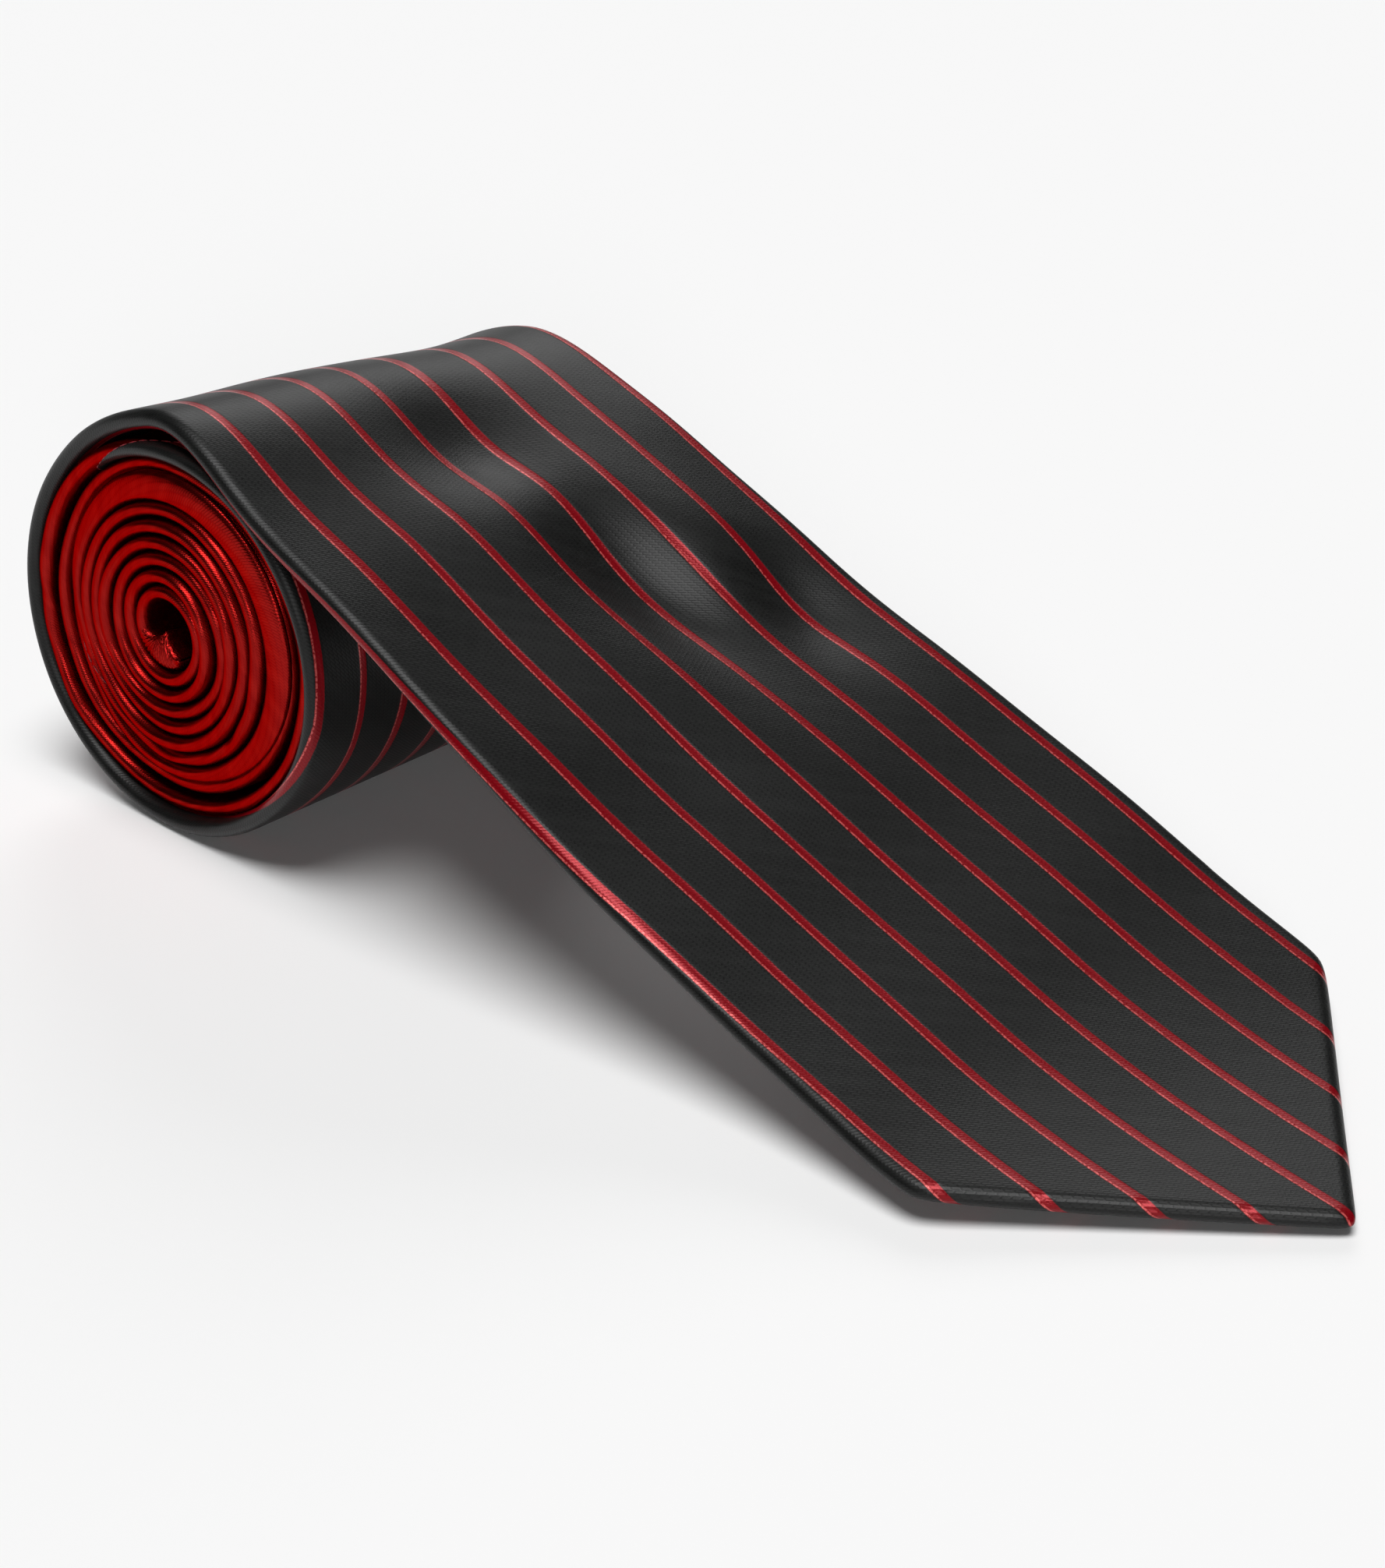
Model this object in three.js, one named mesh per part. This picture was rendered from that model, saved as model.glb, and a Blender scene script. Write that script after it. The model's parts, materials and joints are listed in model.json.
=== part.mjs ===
// A necktie rolled up from its tail. The wide end, the blade, comes off the top of the roll and runs down to
// the floor, where its point lies flat. Every piece follows one path through the middle of the tie's thickness:
// a straight-sided polygon down the free blade, then a spiral of flat steps in to the core.
//
// Frame: +X along the blade towards its point, Y across the tie, +Z up. A "distance" is the length along the
// path from the blade's point. "Across" is measured from the middle of the tie's width, and "height" along
// the normal of the path, with the front of the tie up.

import * as THREE from 'three';

// Driving dimensions, in millimetres unless a name says degrees.
const tieLength = 1480;
const bladeWidth = 80;
const crestWidth = 75;
const seamWidth = 60;
const neckWidth = 35;
const tailWidth = 48;
const clothThickness = 0.45;
const interliningThickness = 0.9;
const clearance = 0.3;
const turnGap = 0.6;
const coreRadius = 4.2;
const stepsPerTurn = 17;
const edgeRecess = 3;

const bladeReach = 188;
const tipRun = 85;
const freeStep = 11;

const bladeNeckSeamAt = 455;
const neckStartAt = 700;
const neckEndAt = 1000;
const neckTailSeamAt = 905;
const interliningJoinAt = 760;
const tipHingeBeyondTack = 6;

const bladeHemWidth = 9;
const tailHemWidth = 7;
const bladeTackAt = 94;
const tailTackFromEnd = 52;
const slitHalfWidth = 0.7;
const tippingInset = 2;
const tippingTackRoom = 3;
const pointBluntness = 1.5;
const seamThickness = 0.3;
const tackThickness = 0.6;
const tackHalfLength = 4.5;
const tackWidth = 1.6;

const keeperBeyondLabel = 8;
const keeperWidth = 10;
const keeperHalfLength = 20;
const keeperThickness = 0.5;
const keeperTackLength = 2;

const labelBeyondHinge = 7;
const labelWidth = 16;
const labelHalfLength = 22;
const labelThickness = 0.35;
const labelStitchWidth = 0.8;
const labelStitchInset = 1;

// Sizes that follow from the ones above.
const tieThickness = 2 * clothThickness + interliningThickness + 2 * clearance;
const halfThickness = tieThickness / 2;
const turnPitch = tieThickness + turnGap;
const stepAngle = (2 * Math.PI) / stepsPerTurn;
const bladePointLength = bladeWidth / 2;
const tailPointLength = tailWidth / 2;
const layersTop = halfThickness - clothThickness;
const tipHingeAt = bladeTackAt + tipHingeBeyondTack;
const labelAt = tipHingeAt + labelBeyondHinge + labelWidth / 2;
const keeperAt = labelAt + labelWidth / 2 + keeperBeyondLabel + keeperWidth / 2;

const blackSatin = new THREE.MeshStandardMaterial({ color: 0x2e2d2e, roughness: 0.45, metalness: 0 });
const redSatin = new THREE.MeshStandardMaterial({ color: 0x8f0c18, roughness: 0.35, metalness: 0 });
const wool = new THREE.MeshStandardMaterial({ color: 0xd8d0bd, roughness: 0.95, metalness: 0 });
const lining = new THREE.MeshStandardMaterial({ color: 0x19191c, roughness: 0.4, metalness: 0 });
const blackThread = new THREE.MeshStandardMaterial({ color: 0x151515, roughness: 0.7, metalness: 0 });
const redThread = new THREE.MeshStandardMaterial({ color: 0x7c0a14, roughness: 0.7, metalness: 0 });

// The roll stands on one level step, so its centre is that step's distance above the floor.
function rollCentreHeight(outerRadius) {
  const radiusAtFloor = outerRadius - turnPitch / 2;
  return (radiusAtFloor + halfThickness) * Math.cos(stepAngle / 2);
}

// The free blade: an S-shaped curve from the point on the floor up to the crest of the roll. It leaves the
// crest with the roll's own curvature, so it stays clear of the turn below it.
function freeBladeCurve(rollRadius) {
  const crestHeight = rollCentreHeight(rollRadius) + rollRadius;
  const crestRun = Math.sqrt((2 / 3) * rollRadius * (crestHeight - halfThickness));
  return new THREE.CubicBezierCurve3(
    new THREE.Vector3(0, 0, halfThickness),
    new THREE.Vector3(-tipRun, 0, halfThickness),
    new THREE.Vector3(-bladeReach + crestRun, 0, crestHeight),
    new THREE.Vector3(-bladeReach, 0, crestHeight),
  );
}

// A spiral's area is its length times its pitch, which gives the outer radius for the length that is rolled up.
function rollRadiusFor(rolledLength) {
  return Math.sqrt(coreRadius ** 2 + (turnPitch * rolledLength) / Math.PI);
}

function solveRollRadius() {
  let radius = rollRadiusFor(tieLength - bladeReach);
  for (let pass = 0; pass < 8; pass += 1) {
    radius = rollRadiusFor(tieLength - freeBladeCurve(radius).getLength());
  }
  return radius;
}

// The path: corners with a point, a normal towards the tie's front, and the distance from the blade's point.
function buildPath() {
  const rollRadius = solveRollRadius();
  const centreHeight = rollCentreHeight(rollRadius);
  const curve = freeBladeCurve(rollRadius);
  const freeLength = curve.getLength();
  const corners = [];
  const freeSteps = Math.round(freeLength / freeStep);
  for (let i = 0; i <= freeSteps; i += 1) {
    const tangent = curve.getTangentAt(i / freeSteps);
    const normal = new THREE.Vector3(tangent.z, 0, -tangent.x);
    corners.push({ point: curve.getPointAt(i / freeSteps), normal, distance: (freeLength * i) / freeSteps });
  }

  // Each turn keeps its radius over the level bottom step and closes in by the pitch over all the others.
  const bottomStep = (stepsPerTurn - 1) / 2;
  const dropPerStep = turnPitch / (stepsPerTurn - 1);
  let radius = rollRadius;
  let distance = freeLength;
  for (let i = 1; distance < tieLength && radius > halfThickness + clearance; i += 1) {
    const isLevel = (i - 1) % stepsPerTurn === bottomStep;
    radius -= isLevel ? 0 : dropPerStep;
    const angle = Math.PI / 2 + i * stepAngle;
    const normal = new THREE.Vector3(Math.cos(angle), 0, Math.sin(angle));
    const point = normal.clone().multiplyScalar(radius).add(new THREE.Vector3(-bladeReach, 0, centreHeight));
    distance += point.distanceTo(corners[corners.length - 1].point);
    corners.push({ point, normal, distance });
  }
  return { corners, crestAt: freeLength, end: corners[corners.length - 1].distance };
}

const path = buildPath();
const tieEnd = Math.min(tieLength, path.end);
const secondTurnAt = path.crestAt + 2 * Math.PI * solveRollRadius();

function stationAt(distance) {
  let i = 1;
  while (i < path.corners.length - 1 && path.corners[i].distance < distance) {
    i += 1;
  }
  const from = path.corners[i - 1];
  const to = path.corners[i];
  const share = (distance - from.distance) / (to.distance - from.distance);
  return {
    point: from.point.clone().lerp(to.point, share),
    normal: from.normal.clone().lerp(to.normal, share),
  };
}

function alongTable(table, distance) {
  let i = 1;
  while (i < table.length - 1 && table[i][0] < distance) {
    i += 1;
  }
  const [x0, y0] = table[i - 1];
  const [x1, y1] = table[i];
  return y0 + ((y1 - y0) * THREE.MathUtils.clamp(distance - x0, 0, x1 - x0)) / (x1 - x0);
}

// Half the tie's width, first as if its two ends were square, then with the 90 degree points.
function squareHalfWidth(distance) {
  const table = [
    [bladePointLength, bladeWidth / 2],
    [path.crestAt, crestWidth / 2],
    [bladeNeckSeamAt, seamWidth / 2],
    [neckStartAt, neckWidth / 2],
    [neckEndAt, neckWidth / 2],
    [tieEnd - tailPointLength, tailWidth / 2],
  ];
  return alongTable(table, distance);
}

function halfWidth(distance) {
  return Math.min(squareHalfWidth(distance), distance, tieEnd - distance);
}

// The roll's near edge is wound level, so the tapering tie draws in from its far edge only.
function middleAcross(distance) {
  if (distance <= path.crestAt) {
    return 0;
  }
  const recess = alongTable([[path.crestAt, 0], [secondTurnAt, edgeRecess]], distance);
  return squareHalfWidth(distance) - crestWidth / 2 + recess;
}

// The back flaps meet at a narrow slit and part below each tack into a V that ends at the point's hem.
function slitHalf(distance) {
  const bladeHem = bladeHemWidth * Math.SQRT2;
  const tailHem = tailHemWidth * Math.SQRT2;
  const table = [
    [bladeHem + slitHalfWidth, slitHalfWidth],
    [bladePointLength, bladePointLength - bladeHem],
    [bladeTackAt, slitHalfWidth],
    [tieEnd - tailTackFromEnd, slitHalfWidth],
    [tieEnd - tailPointLength, tailPointLength - tailHem],
    [tieEnd - tailHem - slitHalfWidth, slitHalfWidth],
  ];
  return alongTable(table, distance);
}

function foldDepth(distance) {
  return Math.min(halfThickness, halfWidth(distance) / 3);
}

function foldStart(distance) {
  return halfWidth(distance) - foldDepth(distance);
}

const turningPlaces = [
  bladeHemWidth * Math.SQRT2 + slitHalfWidth,
  bladePointLength,
  bladeTackAt,
  tieEnd - tailTackFromEnd,
  tieEnd - tailPointLength,
  tieEnd - tailHemWidth * Math.SQRT2 - slitHalfWidth,
];

// Every piece has a ring of corners at each corner of the path that it passes, so neighbours stay parallel.
function stationsBetween(from, to) {
  const merge = 0.15;
  const inside = [...path.corners.map((corner) => corner.distance), ...turningPlaces];
  const kept = inside.filter((d) => d > from + merge && d < to - merge).sort((a, b) => a - b);
  return [from, ...kept.filter((d, i) => i === 0 || d - kept[i - 1] > merge), to];
}

function place(distance, across, height) {
  const { point, normal } = stationAt(distance);
  const placed = point.addScaledVector(normal, height);
  placed.y = middleAcross(distance) + across;
  return placed;
}

// Sweeps a closed outline along the path. outlineAt gives [across, height] corners, anticlockwise.
function sweep(name, material, from, to, outlineAt) {
  const stations = stationsBetween(from, to);
  const positions = [];
  const indices = [];
  const sides = outlineAt(from).length;
  stations.forEach((distance) => {
    outlineAt(distance).forEach(([across, height]) => {
      positions.push(...place(distance, across, height).toArray());
    });
  });
  for (let ring = 0; ring < stations.length - 1; ring += 1) {
    for (let side = 0; side < sides; side += 1) {
      const a = ring * sides + side;
      const b = ring * sides + ((side + 1) % sides);
      indices.push(a, a + sides, b + sides, a, b + sides, b);
    }
  }
  const lastRing = (stations.length - 1) * sides;
  [[from, 0], [to, lastRing]].forEach(([distance, offset]) => {
    const outline = outlineAt(distance).map(([across, height]) => new THREE.Vector2(across, height));
    THREE.ShapeUtils.triangulateShape(outline, []).forEach(([a, b, c]) => {
      indices.push(offset + a, ...(offset === 0 ? [b, c] : [offset + c, offset + b]));
    });
  });
  const geometry = new THREE.BufferGeometry();
  geometry.setAttribute('position', new THREE.Float32BufferAttribute(positions, 3));
  geometry.setIndex(indices);
  geometry.computeVertexNormals();
  const mesh = new THREE.Mesh(geometry, material);
  mesh.name = name;
  return mesh;
}

function bar(acrossFrom, acrossTo, bottom, top) {
  return [[acrossFrom, bottom], [acrossTo, bottom], [acrossTo, top], [acrossFrom, top]];
}

// The shell: one layer of cloth over the front, folded round both edges, its flaps parted by the slit.
function shellOutline(distance) {
  const edge = halfWidth(distance);
  const fold = foldStart(distance);
  const slit = Math.min(slitHalf(distance), fold - clothThickness);
  return [
    [slit, -halfThickness], [fold, -halfThickness], [edge, 0], [fold, halfThickness],
    [-fold, halfThickness], [-edge, 0], [-fold, -halfThickness], [-slit, -halfThickness],
    [-slit, -layersTop], [-fold, -layersTop], [-fold, layersTop],
    [fold, layersTop], [fold, -layersTop], [slit, -layersTop],
  ];
}

function interliningOutline(distance) {
  const half = foldStart(distance) - clearance;
  return bar(-half, half, -interliningThickness / 2, interliningThickness / 2);
}

function tippingOutline(distance) {
  const half = slitHalf(distance) - clearance;
  return bar(-half, half, -halfThickness, -layersTop);
}

function threadOutline() {
  const half = slitHalfWidth - clearance;
  return bar(-half, half, -halfThickness, -layersTop);
}

// Pieces sewn on the back lie one clearance below it.
function onBack(acrossFrom, acrossTo, below, thickness) {
  const top = -halfThickness - clearance - below;
  return () => bar(acrossFrom, acrossTo, top - thickness, top);
}

const halfGap = clearance / 2;
const seamRoom = seamThickness / 2 + clearance;
const tip = [pointBluntness, tipHingeAt - halfGap];
const free = [tipHingeAt + halfGap, path.crestAt - halfGap];
const rolledStart = path.crestAt + halfGap;
const paddingInset = 2 * clothThickness + clearance + pointBluntness;
const tailTackAt = tieEnd - tailTackFromEnd;

function makeShells() {
  return [
    sweep('blade_shell_tip', blackSatin, tip[0], tip[1], shellOutline),
    sweep('blade_shell_free', blackSatin, free[0], free[1], shellOutline),
    sweep('blade_shell_rolled', blackSatin, rolledStart, bladeNeckSeamAt - seamRoom, shellOutline),
    sweep('neck_shell', redSatin, bladeNeckSeamAt + seamRoom, neckTailSeamAt - seamRoom, shellOutline),
    sweep('tail_shell', redSatin, neckTailSeamAt + seamRoom, tieEnd - pointBluntness, shellOutline),
  ];
}

function makeSeams() {
  const half = seamThickness / 2;
  return [
    sweep('blade_neck_seam', redThread, bladeNeckSeamAt - half, bladeNeckSeamAt + half, shellOutline),
    sweep('neck_tail_seam', redThread, neckTailSeamAt - half, neckTailSeamAt + half, shellOutline),
  ];
}

function makeInterlinings() {
  const tailEnd = tieEnd - paddingInset;
  return [
    sweep('interlining_tip', wool, paddingInset, tip[1], interliningOutline),
    sweep('interlining_free', wool, free[0], free[1], interliningOutline),
    sweep('interlining_rolled', wool, rolledStart, interliningJoinAt - halfGap, interliningOutline),
    sweep('interlining_tail', wool, interliningJoinAt + halfGap, tailEnd, interliningOutline),
  ];
}

function makeTippings() {
  const bladeStart = bladeHemWidth * Math.SQRT2 + slitHalfWidth + tippingInset;
  const tailInset = tailHemWidth * Math.SQRT2 + slitHalfWidth + tippingInset;
  return [
    sweep('blade_tipping', lining, bladeStart, bladeTackAt - tippingTackRoom, tippingOutline),
    sweep('tail_tipping', redSatin, tailTackAt + tippingTackRoom, tieEnd - tailInset, tippingOutline),
  ];
}

function makeStitching() {
  const tackHalf = tackWidth / 2;
  const tackOutline = onBack(-tackHalfLength, tackHalfLength, 0, tackThickness);
  const rolledEnd = tailTackAt - tackHalf - clearance;
  return [
    sweep('slip_stitch_free', blackThread, free[0], free[1], threadOutline),
    sweep('slip_stitch_rolled', blackThread, rolledStart, rolledEnd, threadOutline),
    sweep('blade_bar_tack', blackThread, bladeTackAt - tackHalf, bladeTackAt + tackHalf, tackOutline),
    sweep('tail_bar_tack', redThread, tailTackAt - tackHalf, tailTackAt + tackHalf, threadOutline),
  ];
}

function makeKeeper() {
  const half = keeperWidth / 2;
  const inner = keeperHalfLength + clearance;
  const outer = inner + keeperTackLength;
  const band = onBack(-keeperHalfLength, keeperHalfLength, 0, keeperThickness);
  const near = onBack(-outer, -inner, 0, keeperThickness);
  const far = onBack(inner, outer, 0, keeperThickness);
  return [
    sweep('keeper_band', blackSatin, keeperAt - half, keeperAt + half, band),
    sweep('keeper_tack_near', blackThread, keeperAt - half, keeperAt + half, near),
    sweep('keeper_tack_far', blackThread, keeperAt - half, keeperAt + half, far),
  ];
}

function makeLabel() {
  const half = labelWidth / 2;
  const outer = labelHalfLength - labelStitchInset;
  const inner = outer - labelStitchWidth;
  const below = labelThickness + clearance;
  const face = onBack(-labelHalfLength, labelHalfLength, 0, labelThickness);
  const near = onBack(-outer, -inner, below, clothThickness);
  const far = onBack(inner, outer, below, clothThickness);
  return [
    sweep('label', lining, labelAt - half, labelAt + half, face),
    sweep('label_stitch_near', blackThread, labelAt - half, labelAt + half, near),
    sweep('label_stitch_far', blackThread, labelAt - half, labelAt + half, far),
  ];
}

const necktie = new THREE.Group();
necktie.name = 'necktie';
necktie.add(
  ...makeShells(),
  ...makeSeams(),
  ...makeInterlinings(),
  ...makeTippings(),
  ...makeStitching(),
  ...makeKeeper(),
  ...makeLabel(),
);

// The origin is the middle of the footprint, on the floor.
const footprint = new THREE.Box3().setFromObject(necktie);
necktie.position.x = -(footprint.min.x + footprint.max.x) / 2;
necktie.updateMatrixWorld(true);

export default necktie;
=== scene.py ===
import json
import math

import bpy
import numpy as np
from mathutils import Matrix, Vector


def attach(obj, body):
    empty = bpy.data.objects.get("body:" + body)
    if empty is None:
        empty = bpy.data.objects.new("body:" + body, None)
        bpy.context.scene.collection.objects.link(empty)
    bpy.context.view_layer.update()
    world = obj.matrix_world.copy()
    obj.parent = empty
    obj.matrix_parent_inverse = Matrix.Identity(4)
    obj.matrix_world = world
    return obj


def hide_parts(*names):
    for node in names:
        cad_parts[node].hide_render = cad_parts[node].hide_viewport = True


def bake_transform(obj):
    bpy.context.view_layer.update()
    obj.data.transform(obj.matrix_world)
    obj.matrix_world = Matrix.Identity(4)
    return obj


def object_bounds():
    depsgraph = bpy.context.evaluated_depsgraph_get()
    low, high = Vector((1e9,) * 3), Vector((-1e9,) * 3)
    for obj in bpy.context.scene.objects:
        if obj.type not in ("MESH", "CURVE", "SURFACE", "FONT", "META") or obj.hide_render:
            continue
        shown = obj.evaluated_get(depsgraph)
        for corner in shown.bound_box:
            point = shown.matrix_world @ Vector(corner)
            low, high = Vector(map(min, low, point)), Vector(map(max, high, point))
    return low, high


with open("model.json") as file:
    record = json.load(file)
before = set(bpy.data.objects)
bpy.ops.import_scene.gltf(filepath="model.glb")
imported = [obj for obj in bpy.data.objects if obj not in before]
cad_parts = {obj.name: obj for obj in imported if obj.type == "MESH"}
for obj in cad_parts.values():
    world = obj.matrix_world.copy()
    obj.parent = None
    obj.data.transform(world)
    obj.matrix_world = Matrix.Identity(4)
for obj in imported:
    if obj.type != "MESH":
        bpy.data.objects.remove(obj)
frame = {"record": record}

cad_box = [list(corner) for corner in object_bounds()]

# Camera. A long lens about half a metre away, looking down on the near side of the roll with the blade
# running towards the right.
camera_data = bpy.data.cameras.new("camera")
camera_data.sensor_fit = "HORIZONTAL"
camera_data.sensor_width = 36
camera_data.lens = 101.34
camera_data.clip_start = 0.01
yaw = math.radians(135.47)
pitch = math.radians(28.47)
roll = math.radians(0.84)
look = Vector((math.cos(yaw) * math.cos(pitch), math.sin(yaw) * math.cos(pitch), -math.sin(pitch)))
level = look.cross(Vector((0, 0, 1))).normalized()
right = level * math.cos(roll) - level.cross(look) * math.sin(roll)
camera = bpy.data.objects.new("camera", camera_data)
axes = Matrix((right, right.cross(look), -look)).transposed()
camera.matrix_world = Matrix.Translation((0.34274, -0.34412, 0.28728)) @ axes.to_4x4()
bpy.context.collection.objects.link(camera)
bpy.context.scene.camera = camera
bpy.context.scene.view_settings.view_transform = "Standard"


# Floor and light. A pale matt floor under a broad soft light overhead, with a weaker one behind that brings
# out the sheen of the crest and a low one in front for the roll's end.
def flat_stage(name, size, height, colour):
    mesh = bpy.data.meshes.new(name)
    half = size / 2
    corners = [(-half, -half, height), (half, -half, height), (half, half, height), (-half, half, height)]
    mesh.from_pydata(corners, [], [(0, 1, 2, 3)])
    plane = bpy.data.objects.new(name, mesh)
    bpy.context.collection.objects.link(plane)
    material = bpy.data.materials.new(name)
    material.use_nodes = True
    shader = material.node_tree.nodes["Principled BSDF"]
    shader.inputs["Base Color"].default_value = (*colour, 1)
    shader.inputs["Roughness"].default_value = 0.9
    shader.inputs["Specular IOR Level"].default_value = 0.1
    mesh.materials.append(material)


def studio_light(name, towards, spread, strength):
    """A distant soft light: towards points from the tie to it, spread is its width in degrees."""
    data = bpy.data.lights.new(name, "SUN")
    data.angle = math.radians(spread)
    data.energy = strength
    light = bpy.data.objects.new(name, data)
    light.rotation_euler = Vector(towards).to_track_quat("Z", "Y").to_euler()
    bpy.context.collection.objects.link(light)


floor_size = 30
flat_stage("floor", floor_size, 0, (0.92, 0.92, 0.92))
studio_light("overhead light", (0.14, -0.18, 0.96), 34, 2.68)
studio_light("back light", (-0.56, 0.62, 0.54), 30, 0.6)
studio_light("near light", (0.68, -0.60, 0.33), 15, 0.55)
room = bpy.data.worlds.new("room")
room.use_nodes = True
room.node_tree.nodes["Background"].inputs["Color"].default_value = (1, 1, 1, 1)
room.node_tree.nodes["Background"].inputs["Strength"].default_value = 0.03
bpy.context.scene.world = room


# The lie of the tie. Every piece follows one path from the blade's point, up the free blade, over the crest
# and in round the roll. All its sizes are in millimetres; a place is (along, across, height) on that path.
MM = 0.001
joints = {joint["name"]: joint for joint in frame["record"]["behaviour"]["joints"]}
crest = np.array(joints["blade_lift"]["pos_m"])
point_x = cad_box[1][0] / MM
crest_x = crest[0] / MM
crest_z = crest[2] / MM
crest_at = 202.0
cloth_layer = 0.45
rail_reach = 40.0
free_stations = [0, 40, 80, 120, 160, 182]
near_rail = [(-2.2, -39.9, 2.1), (-42.1, -37.7, 5.0), (-77.5, -37.0, 15.3), (-112.1, -39.5, 31.7),
             (-149.7, -41.0, 52.0), (-170.5, -41.0, 61.6)]
far_rail = [(2.2, 39.9, 2.1), (-37.2, 42.2, 7.4), (-78.1, 42.9, 20.6), (-116.9, 40.3, 35.6),
            (-151.2, 39.0, 50.0), (-169.5, 39.2, 56.6)]
roll_centre = np.array([crest_x - 2.5, crest_z / 2])
roll_turns = 10.65
roll_radius = 33.6
roll_oval = 0.08
roll_oval_towards = math.radians(130)
roll_cone = 0.0016


def smooth_curve(knots_at, knots, wanted):
    """A natural cubic through the knots."""
    x = np.asarray(knots_at, float)
    y = np.asarray(knots, float).reshape(len(x), -1)
    gap = np.diff(x)
    slope = np.diff(y, axis=0) / gap[:, None]
    system = np.zeros((len(x), len(x)))
    system[0, 0] = system[-1, -1] = 1
    right_side = np.zeros_like(y)
    for i in range(1, len(x) - 1):
        system[i, i - 1:i + 2] = gap[i - 1], 2 * (gap[i - 1] + gap[i]), gap[i]
        right_side[i] = 6 * (slope[i] - slope[i - 1])
    bend = np.linalg.solve(system, right_side)
    wanted = np.asarray(wanted, float)
    i = np.clip(np.searchsorted(x, wanted) - 1, 0, len(gap) - 1)
    before = (x[i + 1] - wanted)[:, None]
    after = (wanted - x[i])[:, None]
    wide = gap[i][:, None]
    return (bend[i] * before ** 3 + bend[i + 1] * after ** 3) / (6 * wide) \
        + (y[i] / wide - bend[i] * wide / 6) * before + (y[i + 1] / wide - bend[i + 1] * wide / 6) * after


def ramp(x, start, end):
    share = np.clip((np.asarray(x, float) - start) / (end - start), 0, 1)
    return share * share * (3 - 2 * share)


def roll_section(turn):
    """Middle of the tie's thickness in the roll, as x and z, after so many turns from the crest.

    The outer turns are pressed flatter where they pass under the crest.
    """
    drop = np.interp(turn, [0, 0.5, 1, 1.5, 2, 3, roll_turns], [0, 0, 2.7, 3.1, 5.6, 8.3, 28.4])
    squash = np.interp(turn, [0, 0.5, 1.5, 2.5, 3.5, 5], [0, 2.7, 2.0, 1.2, 0.6, 0])
    under_crest = np.exp(-0.5 * ((np.mod(turn - 0.42, 1) - 0.5) / 0.12) ** 2)
    drop = drop + squash * under_crest
    angle = 2 * math.pi * turn
    oval = 1 + roll_oval * np.cos(2 * (angle - roll_oval_towards))
    radius = (roll_radius - drop) * oval
    sunk = ramp(turn, 0.6, 1.0)
    return (roll_centre[0] - 0.2 * sunk - radius * np.sin(angle),
            roll_centre[1] - 0.3 * sunk + radius * np.cos(angle))


def lay_path():
    turn = np.linspace(0, roll_turns, 12001)
    x, z = roll_section(turn)
    rolled = crest_at + np.concatenate([[0], np.cumsum(np.hypot(np.diff(x), np.diff(z)))])
    z = z - z.min() + 1.5
    rails = []
    for side, knots in ((-1, near_rail), (1, far_rail)):
        scale = 1 - roll_cone * (side * rail_reach + 38)
        roll_x = roll_centre[0] + (x - roll_centre[0]) * (0.8 + 0.2 * scale)
        lead = [np.searchsorted(rolled, crest_at + d) for d in (0, 8, 16, 24)]
        knots_at = free_stations + [rolled[i] for i in lead]
        places = [(point_x + a, b, c) for a, b, c in knots] + [(roll_x[i], side * rail_reach, z[i] * scale)
                                                              for i in lead]
        at = np.concatenate([np.arange(0, crest_at, 0.25), rolled])
        free = smooth_curve(knots_at, places, at[at < crest_at])
        wound = np.stack([roll_x, np.full_like(x, side * rail_reach), z * scale], axis=1)
        rails.append(np.vstack([free, wound]))
    steps = np.arange(0, rolled[-1], 0.25)
    near, far = [np.stack([np.interp(steps, at, rail[:, k]) for k in range(3)], axis=1) for rail in rails]
    kernel = np.exp(-0.5 * (np.arange(-20, 21) / 8.0) ** 2)
    kernel /= kernel.sum()

    def soften(rail):
        padded = np.vstack([2 * rail[0] - rail[20:0:-1], rail, 2 * rail[-1] - rail[-2:-22:-1]])
        return np.stack([np.convolve(padded[:, k], kernel, "valid") for k in range(3)], axis=1)

    near, far = soften(near), soften(far)
    across = far - near
    across /= np.linalg.norm(across, axis=1)[:, None]
    middle = (near + far) / 2
    along = np.gradient(middle, axis=0)
    normal = np.cross(across, along)
    normal /= np.linalg.norm(normal, axis=1)[:, None]
    return steps, middle, across, normal


path_at, path_middle, path_across, path_normal = lay_path()
tie_end = path_at[-1]


def wave(u, v):
    """Soft dents and swells of the free blade, in millimetres along its normal."""
    def swell(at, over, length, width, skew=0.0):
        a = (u - at - skew * (v - over)) / length
        return np.exp(-0.5 * (a * a + ((v - over) / width) ** 2))

    free = 1 - ramp(u, crest_at + 18, crest_at + 34)
    dents = -2.2 * swell(178, 5, 8, 7) + 1.1 * swell(163, -4, 10, 12) - 3.5 * swell(142, 9, 13, 6, -0.6)
    dents = dents - 2.3 * swell(127, 27, 8, 5) + 1.0 * swell(150, 24, 10, 6) + 0.8 * swell(118, 2, 14, 9)
    dents = dents - 0.8 * swell(150, -22, 16, 7) + 0.7 * swell(190, -16, 9, 9) - 1.3 * swell(212, 22, 14, 9)
    ripple = 0.22 * np.sin(u / 7.3 + v / 11) * np.sin(v / 8.1 - u / 19)
    return free * (dents + ripple) * ramp(u, 30, 60)


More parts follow.
